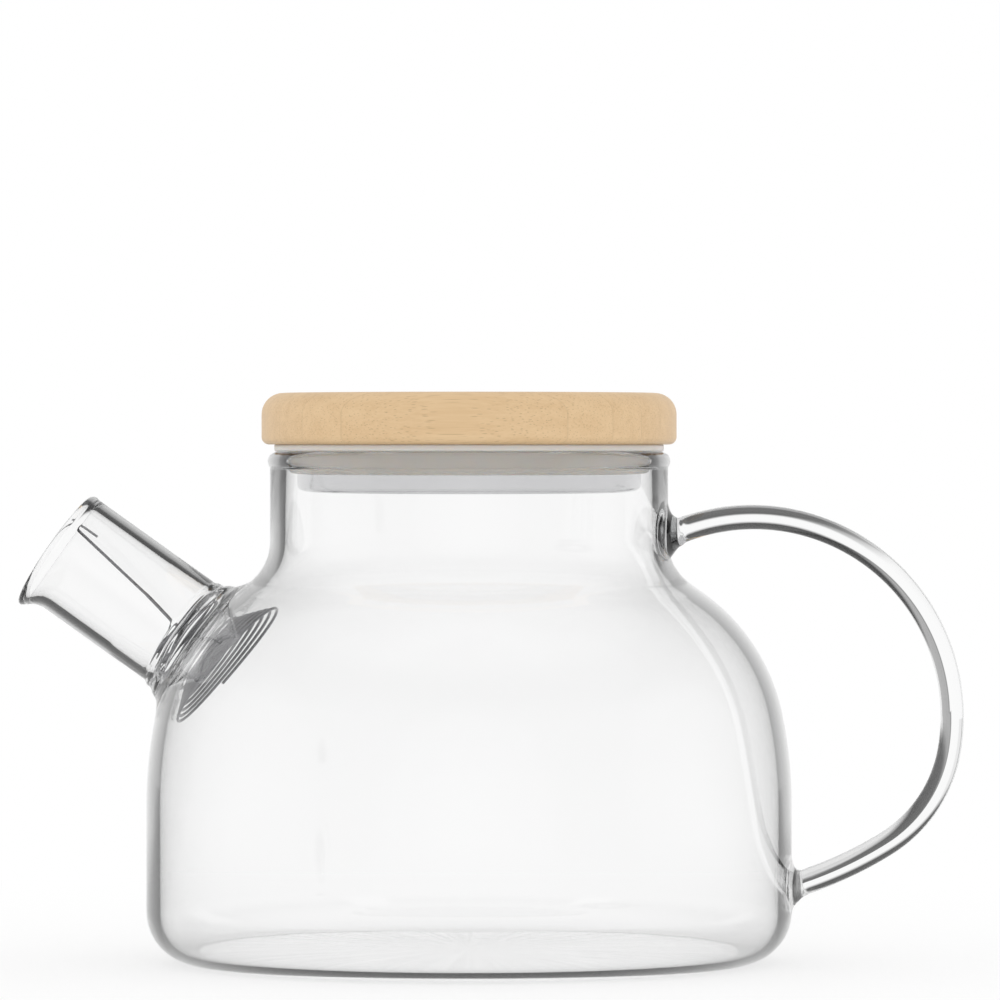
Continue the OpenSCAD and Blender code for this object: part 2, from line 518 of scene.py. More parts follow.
def finish_piece(bm: Mesh, name: str, crease: float = 35.0, finishes: Sequence[Material] = ()) -> Piece:
    """Turn a mesh under construction into a smooth object.

    Args:
        bm: The mesh, which is freed.
        name: The object's name.
        crease: Angle in degrees past which an edge stays sharp.
        finishes: Materials, in the order of the faces' indices.

    Returns:
        The object.
    """
    for face in bm.faces:
        face.smooth = True
    for edge in bm.edges:
        edge.smooth = len(edge.link_faces) == 2 and edge.calc_face_angle(0.0) < math.radians(crease)
    mesh = bpy.data.meshes.new(name)
    bm.to_mesh(mesh)
    bm.free()
    for finish in finishes:
        mesh.materials.append(finish)
    piece = bpy.data.objects.new(name, mesh)
    bpy.context.collection.objects.link(piece)
    return piece


def combine(base: Piece, tool: Piece, operation: str) -> None:
    """Cut a tool from a piece or fuse it on, and remove the tool.

    Args:
        base: The piece.
        tool: The object that is cut away or fused on.
        operation: DIFFERENCE or UNION.
    """
    cut = base.modifiers.new("combine", "BOOLEAN")
    cut.object = tool
    cut.operation = operation
    cut.solver = "EXACT"
    graph = bpy.context.evaluated_depsgraph_get()
    mesh = bpy.data.meshes.new_from_object(base.evaluated_get(graph))
    base.modifiers.clear()
    base.data = mesh
    mesh.name = base.name
    bpy.data.objects.remove(tool)


def place(piece: Piece, body: Body, slot: Slot, nodes: Iterable[str]) -> None:
    """Hand a finished piece to the frame.

    Args:
        piece: The piece.
        body: The body it rides on.
        slot: The record's slot for its finish. Not used.
        nodes: The CAD nodes it stands for.
    """
    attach(piece, body.value)
    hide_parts(*nodes)
    LOG.info("%s: %d faces, rides on %s", piece.name, len(piece.data.polygons), body.value)


# ---- Vessel ----


@dataclass(frozen=True)
class Weld:
    """A gob that joins the handle's rod to the wall: its height, foot and how far out it is shaped."""

    z: float
    foot: float
    reach: float


@dataclass
class Vessel:
    """The fused glass: blown body, spout, handle and the welds between them."""

    heel_r: float = 11 * MM
    wall: float = 2.8 * MM
    floor_share: float = 0.78
    neck_r: float = 42.5 * MM
    neck_wall: float = 3.2 * MM
    side_top: float = 33.6 * MM
    slow_r: float = 95 * MM
    slow_a: float = 12.0
    dome_r: float = 42 * MM
    dome_a: float = 54.0
    shoulder_r: float = 11 * MM
    bead_r: float = 2 * MM
    spout_pitch: float = 35.4
    spout_len: float = 35.2 * MM
    spout_r: float = 12.8 * MM
    spout_wall: float = 2.2 * MM
    lip_out: float = 2.5 * MM
    rod_r: float = 2.7 * MM
    bow_centre: Point = (60.7 * MM, 52.8 * MM)
    bow_r: float = 42.3 * MM
    bow_a: Point = (109.8, -10)
    bend_r: float = 29.3 * MM
    bend_end: float = -58
    run_r: float = 84 * MM
    run_end: float = -71
    upper_weld: Weld = Weld(91.3 * MM, 6.9 * MM, 4.2 * MM)
    lower_weld: Weld = Weld(16.7 * MM, 6.1 * MM, 3.4 * MM)
    body_r: float = field(init=False)
    rim_z: float = field(init=False)
    dome_cx: float = field(init=False)
    dome_cz: float = field(init=False)

    def __post_init__(self) -> None:
        """Read the driving sizes from the frame and work out the dome's centre."""
        low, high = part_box("glass_body")
        self.body_r = (high.x - low.x) / 2
        self.rim_z = high.z
        slow = math.radians(self.slow_a)
        self.dome_cx = self.body_r - self.slow_r * (1 - math.cos(slow)) - self.dome_r * math.cos(slow)
        self.dome_cz = self.side_top + (self.slow_r - self.dome_r) * math.sin(slow)

    def side(self, wall: float, neck_wall: float, top: float) -> list[Point]:
        """The vessel's right-hand outline, set in by the wall thickness.

        Args:
            wall: How far in from the outside of the body.
            neck_wall: How far in from the outside of the neck.
            top: Height where the neck's straight ends.

        Returns:
            The outline, from the middle of the floor to the top of the neck.
        """
        side = self.body_r - wall
        heel = self.heel_r - wall
        throat = self.neck_r - neck_wall
        concave = self.shoulder_r + wall
        floor = wall * self.floor_share
        deeper = (self.heel_r - floor) / heel
        dome = math.radians(self.dome_a)
        end_x = self.dome_cx + (self.dome_r - wall) * math.cos(dome)
        end_z = self.dome_cz + (self.dome_r - wall) * math.sin(dome)
        run = end_x - throat - concave * (1 - math.cos(dome))
        neck_cz = end_z + run / math.tan(dome) + concave * math.sin(dome)
        return [
            (0, floor),
            *[(x, self.heel_r + (z - self.heel_r) * deeper)
              for x, z in arc(side - heel, self.heel_r, heel, -90, 0)],
            *arc(side - self.slow_r + wall, self.side_top, self.slow_r - wall, 0, self.slow_a),
            *arc(self.dome_cx, self.dome_cz, self.dome_r - wall, self.slow_a, self.dome_a)[1:],
            *arc(throat + concave, neck_cz, concave, 180 + self.dome_a, 180),
            (throat, top),
        ]

    def blown_body(self) -> Mesh:
        """Spin the body's whole section, with its rim bead.

        Returns:
            The closed mesh.
        """
        bead_x = self.neck_r + 0.5 * MM - self.bead_r
        bead_z = self.rim_z - self.bead_r
        bead = arc(bead_x, bead_z, self.bead_r, -42, 218, 0.35 * MM)
        outside = self.side(0, 0, bead_z - 1.9 * MM)
        inside = self.side(self.wall, self.neck_wall, bead_z - 1.9 * MM)
        bm = lathe([*outside, *bead, *reversed(inside)], 288)
        for vert in bm.verts:
            self.unevenness(vert)
        return bm

    def unevenness(self, vert: Vert) -> None:
        """Ease the wall in and out a little, as blown glass is never quite even.

        Args:
            vert: A vertex of the body.
        """
        radius = math.hypot(vert.co.x, vert.co.y)
        if radius < 5 * MM or vert.co.z < 6 * MM or vert.co.z > self.rim_z - 8 * MM:
            return
        depth = 0.05 * MM * noise.noise(vert.co * 34)
        vert.co.x += vert.co.x / radius * depth
        vert.co.y += vert.co.y / radius * depth

    def spout_frame(self) -> Matrix:
        """The spout's own frame: origin where its axis leaves the dome, +Z out of the mouth, +X up."""
        pitch = math.radians(self.spout_pitch)
        root = Vector((-self.dome_cx - self.dome_r * math.cos(pitch), 0,
                       self.dome_cz + self.dome_r * math.sin(pitch)))
        return Matrix.Translation(root) @ Matrix.Rotation(pitch - math.pi / 2, 4, "Y")

    def sag(self, wall: float) -> Callable[[Vector], float]:
        """Height of the dome under a point of the spout's frame, against its own root.

        Args:
            wall: How far the surface lies inside the outer one.

        Returns:
            A function from a point in the spout's frame to a height along its axis.
        """
        shell = lathe([*self.side(wall, wall, self.rim_z), (0, self.rim_z)], 360)
        tree = BVHTree.FromBMesh(shell)
        shell.free()
        to_world = self.spout_frame()
        to_local = to_world.inverted()

        def height(point: Vector) -> float:
            start = to_world @ Vector((point.x, point.y, 20 * MM))
            hit = tree.ray_cast(start, to_world.to_3x3() @ Vector((0, 0, -1)))[0]
            return (to_local @ hit).z + wall if hit else 0.0

        return height

    def spout(self) -> Mesh:
        """The spout: a beaded tube whose foot flares into the dome, inside and out.

        Returns:
            The closed ring-shaped mesh, in the pot's frame.
        """
        bore = self.spout_r - self.spout_wall
        mid = (self.spout_r + bore) / 2
        bead = self.spout_wall / 2 + 0.15 * MM
        foot, throat = 5.6 * MM, 1.8 * MM
        fine = 0.45 * MM
        rows = [self.spout_len - bead - 1 * MM - i * 1.1 * MM for i in range(1, 20)]
        outline = [
            *arc(mid, self.spout_len - bead, bead, 205, -25, 0.25 * MM),
            *[(self.spout_r, s) for s in rows if s > foot + 0.5 * MM],
            *arc(self.spout_r + foot, foot, foot, 180, 263, fine),
            (self.spout_r + foot + 0.2 * MM, -0.5 * MM),
            (self.spout_r + foot - 0.6 * MM, -1.2 * MM),
            (bore + throat + 0.8 * MM, -self.wall + 0.8 * MM),
            *arc(bore + throat, throat - self.wall, throat, 264, 180, fine),
            *[(bore, s) for s in reversed(rows) if s > throat - self.wall + 0.5 * MM],
        ]
        bm = lathe(outline, 144, closed=True)
        outer_sag, inner_sag = self.sag(0.0), self.sag(self.wall)
        for vert in bm.verts:
            self.shape_spout(vert, outer_sag, inner_sag)
        bmesh.ops.recalc_face_normals(bm, faces=bm.faces)
        bm.transform(self.spout_frame())
        return bm

    def shape_spout(self, vert: Vert, outer_sag: Callable[[Vector], float],
                    inner_sag: Callable[[Vector], float]) -> None:
        """Draw the lip, sink the foot to the dome and ripple the weld.

        Args:
            vert: A vertex in the spout's frame.
            outer_sag: Height of the dome's outside.
            inner_sag: Height of the dome's inside.
        """
        co = vert.co
        radius = math.hypot(co.x, co.y)
        out = Vector((co.x, co.y, 0)) / radius
        low_side = max(0.0, -out.x) ** 3
        pulled = smoothstep(self.spout_len - 7 * MM, self.spout_len, co.z) ** 2
        ripple = 0.0
        turn = math.atan2(co.y, co.x)
        if radius > self.spout_r - 0.1 * MM and co.z > -0.4 * MM:
            near = smoothstep(-0.4 * MM, 1 * MM, co.z) * (1 - smoothstep(5.5 * MM, 9 * MM, co.z))
            wave = math.sin(co.z / (0.3 * MM) + 1.6 * math.sin(turn * 2 + 0.6))
            streak = noise.noise(Vector((co.z * 420, turn * 1.3, 2.0)))
            ripple = near * (0.12 * MM * wave + 0.42 * MM * streak)
        elif radius < self.spout_r - self.spout_wall + 1.6 * MM and co.z < 7 * MM:
            near = smoothstep(-3.2 * MM, -1.5 * MM, co.z) * (1 - smoothstep(3 * MM, 7 * MM, co.z))
            ripple = near * 0.34 * MM * noise.noise(Vector((co.z * 380, turn * 1.5, 7.0)))
        settle = 1 - smoothstep(6 * MM, 15 * MM, co.z)
        depth = (outer_sag if co.z > -1.3 * MM else inner_sag)(co) if settle else 0.0
        co += out * (low_side * pulled * self.lip_out + ripple)
        co.z += settle * depth - 0.35 * MM * low_side * pulled

    def handle(self) -> Mesh:
        """The handle: a bent rod that flares at both ends into the glass.

        Returns:
            The closed mesh.
        """
        (bow_x, bow_z), (bow_start, bow_end) = self.bow_centre, self.bow_a
        to_bend, to_run = math.radians(bow_end), math.radians(self.bend_end)
        bend_x = bow_x + (self.bow_r - self.bend_r) * math.cos(to_bend)
        bend_z = bow_z + (self.bow_r - self.bend_r) * math.sin(to_bend)
        run_x = bend_x - (self.run_r - self.bend_r) * math.cos(to_run)
        run_z = bend_z - (self.run_r - self.bend_r) * math.sin(to_run)
        step = 1.5 * MM
        path = [
            *arc(bow_x, bow_z, self.bow_r, bow_start, bow_end, step),
            *arc(bend_x, bend_z, self.bend_r, bow_end, self.bend_end, step)[1:],
            *arc(run_x, run_z, self.run_r, self.bend_end, self.run_end, step)[1:],
        ]
        points = [Vector((x, 0, z)) for x, z in path]
        last = len(points) - 1
        rod = []
        for i, point in enumerate(points):
            ahead = points[min(last, i + 1)] - points[max(0, i - 1)]
            thin = 1 - 0.09 * math.sin(math.pi * i / last)
            rod.append(Station(point, ahead, self.rod_r * thin))
        top = self.gob(rod[0], -1, self.neck_r, self.upper_weld)
        foot = self.gob(rod[-1], 1, self.body_r, self.lower_weld)
        bm = loft([*reversed(top), *rod, *foot], Vector((0, 1, 0)), 40)
        for vert in bm.verts:
            self.shape_gob(vert)
        return bm

    def gob(self, end: Station, way: int, wall_r: float, weld: Weld) -> list[Station]:
        """Rings that flare from the rod's end to the wall, and one just inside it.

        Args:
            end: The rod's last ring.
            way: 1 if the rod faces the wall, -1 if it faces away.
            wall_r: Radius of the wall's outside.
            weld: The weld's sizes.

        Returns:
            The rings, from the rod to just inside the wall.
        """
        out = Vector((-1, 0, 0)) * way
        touch = Vector((wall_r, 0, weld.z))
        spread_to = math.radians(78)
        count = 18
        rings = []
        for i in range(1, count + 1):
            a = spread_to * i / count
            along = math.sin(a) / math.sin(spread_to)
            spread = (1 - math.cos(a)) / (1 - math.cos(spread_to))
            facing = end.facing.normalized().lerp(out, smoothstep(0, 1, along))
            radius = end.radius + (weld.foot - end.radius) * spread
            rings.append(Station(end.centre.lerp(touch, along), facing, radius))
        rings.append(Station(touch + Vector((-1.1 * MM, 0, 0)), out, weld.foot + 0.3 * MM))
        return rings

    def shape_gob(self, vert: Vert) -> None:
        """Fit a weld's foot to the round wall and give the glass its flow marks.

        Args:
            vert: A vertex of the handle.
        """
        co = vert.co
        wall_r, weld = self.body_r, self.lower_weld
        if co.z > self.bow_centre[1]:
            wall_r, weld = self.neck_r, self.upper_weld
        share = 1 - smoothstep(wall_r, wall_r + weld.reach, co.x)
        if not share:
            return
        co.x -= share * (wall_r - math.sqrt(wall_r ** 2 - co.y ** 2))
        out = Vector((0, co.y, co.z - weld.z))
        if out.length > 1 * MM and co.x > wall_r - 0.8 * MM:
            flow = 0.6 * noise.noise(co * 300) + 0.35 * math.sin(co.x / (0.3 * MM))
            co += out.normalized() * flow * 0.3 * MM * math.sin(math.pi * min(1.0, share + 0.1))

    def build(self, glass: Material) -> Piece:
        """Make the fused vessel and dress it.

        Args:
            glass: The finish.

        Returns:
            The piece.
        """
        vessel = finish_piece(self.blown_body(), "glass_vessel")
        hole = cylinder(self.spout_r - 0.6 * MM, 16 * MM, self.spout_frame(), 144)
        combine(vessel, finish_piece(hole, "spout_hole"), "DIFFERENCE")
        combine(vessel, finish_piece(self.spout(), "spout_raw"), "UNION")
        combine(vessel, finish_piece(self.handle(), "handle_raw"), "UNION")
        bm = bmesh.new()
        bm.from_mesh(vessel.data)
        bmesh.ops.remove_doubles(bm, verts=bm.verts, dist=1e-6)
        bmesh.ops.dissolve_degenerate(bm, edges=bm.edges, dist=1e-6)
        bpy.data.objects.remove(vessel)
        vessel = finish_piece(bm, "glass_vessel", 50.0, [glass])
        place(vessel, Body.POT, Slot.GLASS, (
            "glass_body", "spout_tube", "spout_weld", "handle_rod", "handle_upper_weld", "handle_lower_weld"))
        return vessel


# ---- Strainer ----


@dataclass
class Strainer:
    """One stainless wire: a hook over the spout's mouth, a tail, a coil and a wide flare."""

    spout: Matrix
    spout_len: float
    wire_r: float = 0.35 * MM
    coil_depth: Point = (31.4 * MM, 40.2 * MM)
    coil_r: Point = (9.0 * MM, 9.9 * MM)
    coil_turns: int = 5
    coil_start_turn: float = -18.0
    flare_depth: float = 44.6 * MM
    flare_r: float = 17.0 * MM
    flare_turns: int = 6
    flare_lean: float = 0.085
    hook_turn: float = 27.0
    hook_r: Point = (9.8 * MM, 13.7 * MM)
    hook_foot: float = 1.0 * MM
    hook_leg: float = 5.2 * MM
    hook_rise: float = 1.4 * MM
    lead_in: float = 3.0 * MM

    def at(self, r: float, turn: float, depth: float) -> Vector:
        """A point of the spout's frame.

        Args:
            r: Radius.
            turn: Angle from +Y, in degrees.
            depth: Depth from the mouth.

        Returns:
            The point.
        """
        a = math.radians(turn)
        return Vector((r * math.sin(a), r * math.cos(a), self.spout_len - depth))

    def helix(self, turns: int, radii: Point, depths: Point, lean: float = 0.0) -> list[Vector]:
        """Points of a coil whose radius and depth grow evenly.

        Args:
            turns: Whole turns.
            radii: First and last radius.
            depths: First and last depth from the mouth.
            lean: How far the last turn leans, as a slope.

        Returns:
            The points.
        """
        count = turns * 48
        points = []
        for i in range(count + 1):
            s = i / count
            r = radii[0] + (radii[1] - radii[0]) * s
            depth = depths[0] + (depths[1] - depths[0]) * s
            point = self.at(r, self.coil_start_turn - turns * 360 * s, depth)
            point.z -= lean * s * point.x
            points.append(point)
        return points

    def path(self) -> list[Vector]:
        """The wire's centre line, from the hook's outer leg to the widest turn.

        Returns:
            The points, in the spout's frame.
        """
        start = self.at(self.coil_r[0], self.coil_start_turn, self.coil_depth[0])
        turn = math.radians(self.coil_start_turn)
        along = start + Vector((math.cos(turn), -math.sin(turn), 0)) * self.lead_in
        foot = self.at(self.hook_r[0], self.hook_turn, self.hook_foot)
        away = along + (foot - along).normalized() * self.lead_in
        half = (self.hook_r[1] - self.hook_r[0]) / 2
        angles = [math.radians(a) for a in range(180, 0, -12)]
        hook = [self.at(self.hook_r[0] + half * (1 - math.cos(a)), self.hook_turn,
                        self.hook_foot - self.hook_rise * math.sin(a)) for a in angles]
        leg = self.at(self.hook_r[1], self.hook_turn, self.hook_leg)
        shares = [i / 8 for i in range(9)]
        bend = [away * (1 - s) ** 2 + along * (2 * s * (1 - s)) + start * s ** 2 for s in shares]
        tail = [foot.lerp(away, i / 12) for i in range(12)]
        coil = self.helix(self.coil_turns, self.coil_r, self.coil_depth)
        flare = self.helix(self.flare_turns, (self.coil_r[1], self.flare_r),
                           (self.coil_depth[1], self.flare_depth), self.flare_lean)
        return [leg, *hook, *tail, *bend, *coil[1:], *flare[1:]]

    def build(self, steel: Material) -> Piece:
        """Make the wire and dress it.

        Args:
            steel: The finish.

        Returns:
            The piece.
        """
        curve = bpy.data.curves.new("wire_path", "CURVE")
        curve.dimensions = "3D"
        curve.bevel_depth = self.wire_r
        curve.bevel_resolution = 2
        curve.use_fill_caps = True
        points = self.path()
        spline = curve.splines.new("POLY")
        spline.points.add(len(points) - 1)
        for target, point in zip(spline.points, points):
            target.co = (*(self.spout @ point), 1)
        holder = bpy.data.objects.new("wire_path", curve)
        bpy.context.collection.objects.link(holder)
        graph = bpy.context.evaluated_depsgraph_get()
        bm = bmesh.new()
        bm.from_mesh(bpy.data.meshes.new_from_object(holder.evaluated_get(graph)))
        bpy.data.objects.remove(holder)
        bmesh.ops.remove_doubles(bm, verts=bm.verts, dist=1e-6)
        bmesh.ops.recalc_face_normals(bm, faces=bm.faces)
        wire = finish_piece(bm, "strainer_wire", 60.0, [steel])
        place(wire, Body.STRAINER, Slot.WIRE, ("strainer_tail", "strainer_coil", "strainer_flare"))
        return wire


# ---- Lid ----


@dataclass
class Lid:
    """The lid: a bamboo disc, the steel cup pressed into it and the silicone seal round the cup."""

    foot_r: float = 1.6 * MM
    edge_r: float = 4.6 * MM
    cup_wall: float = 0.5 * MM
    cup_edge_r: float = 1.2 * MM
    vent_turn: float = 75.0
    vent_r: float = 1.05 * MM

    def disc(self, face: Material, edge: Material) -> Piece:
        """Make the bamboo disc: its underside of one finish, painted darker as shade, its top and edge of
        another.

        Args:
            face: Finish of the underside, a darker copy of the bamboo that paints shade on it.
            edge: Finish of the top and the rounded edge.

        Returns:
            The piece.
        """
        low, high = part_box("lid_disc")
        middle = (high.z + low.z) / 2
        bm = cylinder((high.x - low.x) / 2, high.z - low.z, Matrix.Translation((0, 0, middle)), 192)
        for above, size, segments in ((True, self.edge_r, 10), (False, self.foot_r, 6)):
            ring = [e for e in bm.edges if all((v.co.z > middle) == above for v in e.verts)
                    and len(e.link_faces) == 2]
            bmesh.ops.bevel(bm, geom=ring, offset=size, offset_type="OFFSET", segments=segments,
                            affect="EDGES", profile=0.5, material=-1)
        caps = [f for f in bm.faces if len(f.verts) > 100]
        bmesh.ops.inset_region(bm, faces=caps, thickness=0.4 * MM)
        for f in bm.faces:
            f.material_index = 0 if f.normal.z < -0.995 else 1
        piece = finish_piece(bm, "bamboo_disc", 30.0, [face, edge])
        place(piece, Body.LID, Slot.BAMBOO, ("lid_disc",))
        return piece

    def cup(self, turned: Material, bright: Material) -> Piece:
        """Make the steel cup, with its rolled edge and the vent's dent.

        Args:
            turned: Finish of the flat bottom.
            bright: Finish of the side.

        Returns:
            The piece.
        """
        low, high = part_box("lid_cup")
        r, w, e = (high.x - low.x) / 2, self.cup_wall, self.cup_edge_r
        rise = [low.z + e + (high.z - low.z - e) * i / 14 for i in range(1, 15)]
        outside = [(0, low.z), *[(r * k / 12, low.z) for k in range(1, 11)],
                   *arc(r - e, low.z + e, e, -90, 0, 0.2 * MM), *[(r, z) for z in rise]]
        inside = [(0, low.z + w), *arc(r - e, low.z + e, e - w, -90, 0, 0.2 * MM),
                  *[(r - w, z) for z in rise]]
        bm = lathe([*outside, *reversed(inside)], 256)
        dent = Vector((math.cos(math.radians(self.vent_turn)), math.sin(math.radians(self.vent_turn)), 0))
        for vert in bm.verts:
            co = vert.co
            if co.z < low.z + 0.9 * e or math.hypot(co.x, co.y) < r - 2 * MM:
                continue
            across = (co - dent * co.dot(dent)).xy.length
            if co.dot(dent) > 0:
                down = math.exp(-((co.z - low.z - 3.4 * MM) / (2.1 * MM)) ** 2)
                co -= dent * 0.75 * MM * down * math.exp(-(across / (1.5 * MM)) ** 2)
        for f in bm.faces:
            f.material_index = 0 if f.normal.z < -0.98 else 1
        piece = finish_piece(bm, "steel_cup", 30.0, [turned, bright])
        place(piece, Body.LID, Slot.STEEL, ("lid_cup",))
        return piece

    def seal(self, silicone: Material) -> Piece:
        """Make the silicone seal: a flange, a collar with two ribs and the steam vent.

        Args:
            silicone: The finish.

        Returns:
            The piece.
        """
        low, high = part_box("lid_seal")
        cup_low, cup_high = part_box("lid_cup")
        inner = (cup_high.x - cup_low.x) / 2
        outer = (high.x - low.x) / 2
        collar = 38.6 * MM
        flange = high.z - 1.5 * MM
        tip, rib, fine = 0.45 * MM, 0.35 * MM, 0.12 * MM
        outline = [
            (inner, high.z),
            *arc(outer - 0.3 * MM, high.z - 0.3 * MM, 0.3 * MM, 90, 0, 0.1 * MM),
            *arc(outer - 0.5 * MM, flange + 0.5 * MM, 0.5 * MM, 0, -90, 0.1 * MM),
            *arc(collar + 0.5 * MM, flange - 0.5 * MM, 0.5 * MM, 90, 180, 0.1 * MM),
            (collar, flange - 2.2 * MM),
            *arc(collar, low.z + 2.2 * MM, rib, 90, -90, fine),
            *arc(collar, low.z + 0.8 * MM, rib, 90, 0, fine),
            *arc(collar - tip, low.z + tip, tip, 0, -90, fine),
            *arc(inner + tip, low.z + tip, tip, -90, -180, fine),
        ]
        piece = finish_piece(lathe(outline, 256, closed=True), "silicone_seal")
        reach = collar + self.vent_r + 0.2 * MM
        a = math.radians(self.vent_turn)
        spot = Matrix.Translation((reach * math.cos(a), reach * math.sin(a), flange + 0.7 * MM))
        vent = cylinder(self.vent_r, 6 * MM, spot, 40)
        combine(piece, finish_piece(vent, "vent_tool"), "DIFFERENCE")
        piece.data.materials.append(silicone)
        place(piece, Body.LID, Slot.SILICONE, ("lid_seal",))
        return piece


# ---- Studio ----


@dataclass
class Studio:
    """Pale floor, soft light all round and the camera."""

    lens: float = 263.0
    sensor: float = 36.0
    distance: float = 1.56
    azimuth: float = 4.5
    aside: float = 0.0066
    eye_z: float = 0.1104
    aim_z: float = 0.0987
    reach: float = 1.5

    def camera(self) -> None:
        """Make the camera, level with the rim and nearly square to the spout."""
        data = bpy.data.cameras.new("camera")
        data.lens = self.lens
        data.sensor_width = self.sensor
        data.clip_end = 50
        data.dof.use_dof = False
        camera = bpy.data.objects.new("camera", data)
        turn = Matrix.Rotation(math.radians(self.azimuth), 3, "Z")
        camera.location = turn @ Vector((self.aside, -self.distance, self.eye_z))
        aim = turn @ Vector((self.aside, 0, self.aim_z)) - camera.location
        camera.rotation_euler = aim.to_track_quat("-Z", "Y").to_euler()
        bpy.context.collection.objects.link(camera)
        bpy.context.scene.camera = camera

    def paths(self, tree: Tree) -> tuple[Socket, ...]:
        """Sort light by its way through the glass.

        Args:
            tree: The node tree.

        Returns:
            Three shares: light that one rod or wall has bent, light mirrored inside one, and
            light mirrored behind one.
        """
        path = tree.add("LightPath")
        straight = tree.math("LESS_THAN", path.outputs["Glossy Depth"], 0.5)
        unscattered = tree.math("LESS_THAN", path.outputs["Diffuse Depth"], 0.5)
        passes = path.outputs["Transmission Depth"]
        once = tree.math("COMPARE", passes, 2.0)
        once.node.inputs[2].default_value = 0.5
        more = tree.math("GREATER_THAN", passes, 2.5)
        bounced = tree.math("MULTIPLY", tree.math("SUBTRACT", 1.0, straight), unscattered)
        bent = tree.math("MULTIPLY", tree.math("MULTIPLY", once, straight), unscattered)
        return bent, tree.math("MULTIPLY", bounced, once), tree.math("MULTIPLY", bounced, more)

    def within(self, tree: Tree, turn: Socket, rise: object) -> Socket:
        """Tone that a wall mirrors inside itself: dark away from the level views, but for overhead. The world
        lights with it and the floor paints it as shade.

        Args:
            tree: The node tree.
            turn: Way round of the light's direction.
            rise: Sine of its height.

        Returns:
            The tone, by how far the light lies from the nearest of the four level views.
        """
        facing = tree.math("FRACT", tree.math("ADD", tree.math("DIVIDE", turn, math.pi / 2), 2.45))
        aside = tree.math("MULTIPLY", tree.math("ABSOLUTE", tree.math("SUBTRACT", facing, 0.5)), 2.0)
        lift = tree.math("DIVIDE", tree.math("ABSOLUTE", tree.math("ARCSINE", rise)), math.pi / 4)
        squares = tree.math("ADD", tree.math("POWER", aside, 2.0), tree.math("POWER", lift, 2.0))
        away = tree.math("SQRT", squares)
        return tree.ramp(tree.math("MULTIPLY", away, 0.5), [
            (0.0, 0.62), (0.1, 0.52), (0.2, 0.38), (0.31, 0.27), (0.36, 0.08), (0.42, 0.03), (0.75, 0.04),
            (0.95, 0.4)])

    def beside(self, tree: Tree, turn: Socket) -> Socket:
        """Tone that an upright rod gathers from the sides: grey, a thin dark line, then white. The world
        lights with it and the floor paints it as shade.

        Args:
            tree: The node tree.
            turn: Way round of the light's direction.

        Returns:
            The tone.
        """
        quarter = tree.math("FRACT", tree.math("ADD", tree.math("DIVIDE", turn, math.pi / 2), 2.5))
        return tree.ramp(quarter, [(0.0, 0.48), (0.39, 0.42), (0.415, 0.18), (0.445, 1.0), (0.78, 1.0),
                                   (0.82, 0.85)])

    def floor(self) -> None:
        """Make a round pale floor that fades into the background, with painted shade: dark strips and dark
        tones that only light bent or mirrored in the glass shows.
        """
        bm = bmesh.new()
        bmesh.ops.create_circle(bm, cap_ends=True, segments=96, radius=self.reach)
        floor = finish_piece(bm, "floor")
        material = bpy.data.materials.new("pale_floor_painted_shade")
        tree = Tree(material)
        away = tree.add("VectorMath", {0: tree.coordinates()}, operation="LENGTH").outputs["Value"]
        share = tree.add("MapRange", {"Value": away, "From Min": 0.06, "From Max": 0.3,
                                      "To Min": 0.7, "To Max": 1.0}).outputs[0]
        bent, mirrored, far = self.paths(tree)
        spot = tree.add("SeparateXYZ", {0: tree.coordinates()})
        # Painted shade: a dark strip on the floor behind the handle, that only light bent through its round
        # rod shows
        right = tree.ramp(spot.outputs[0], [(0.0, 0.0), (0.01, 0.0), (0.035, 1.0)])
        strip = tree.math("MULTIPLY", right, tree.ramp(away, [
            (0.0, 0.1), (0.115, 0.15), (0.14, 1.0), (0.42, 1.0), (0.7, 0.2), (1.0, 0.0)]))
        turn = tree.math("ARCTAN2", spot.outputs[1], spot.outputs[0])
        # Painted shade: grey and a thin dark line beside the rod, which the floor shows only to light bent
        # through it
        painted_rod_shade = tree.mix(right, WHITE, self.beside(tree, turn))
        painted_rod_shade = tree.mix(strip, painted_rod_shade, (0.13, 0.13, 0.13))
        tone = tree.mix(bent, WHITE, painted_rod_shade)
        # Painted shade: near the pot the floor is near-black to light mirrored inside a wall
        distant = tree.ramp(away, [(0.1, 0.0), (0.5, 1.0)])
        near = tree.mix(distant, (0.05, 0.05, 0.05), self.within(tree, turn, 0.0))
        tone = tree.mix(mirrored, tone, near)
        # Painted shade: the floor is greyer to light mirrored behind a wall
        tone = tree.mix(far, tone, tree.ramp(away, [(0.07, 0.85), (0.9, 0.93)]))
        matt = tree.add("BsdfDiffuse", {"Color": tree.mix(1.0, tone, (0.97, 0.97, 0.97), "MULTIPLY")})
        glow = tree.add("Emission", {"Color": tone, "Strength": 1.0})
        tree.surface(tree.add("MixShader", {0: share, 1: matt.outputs[0], 2: glow.outputs[0]}))
        floor.data.materials.append(material)

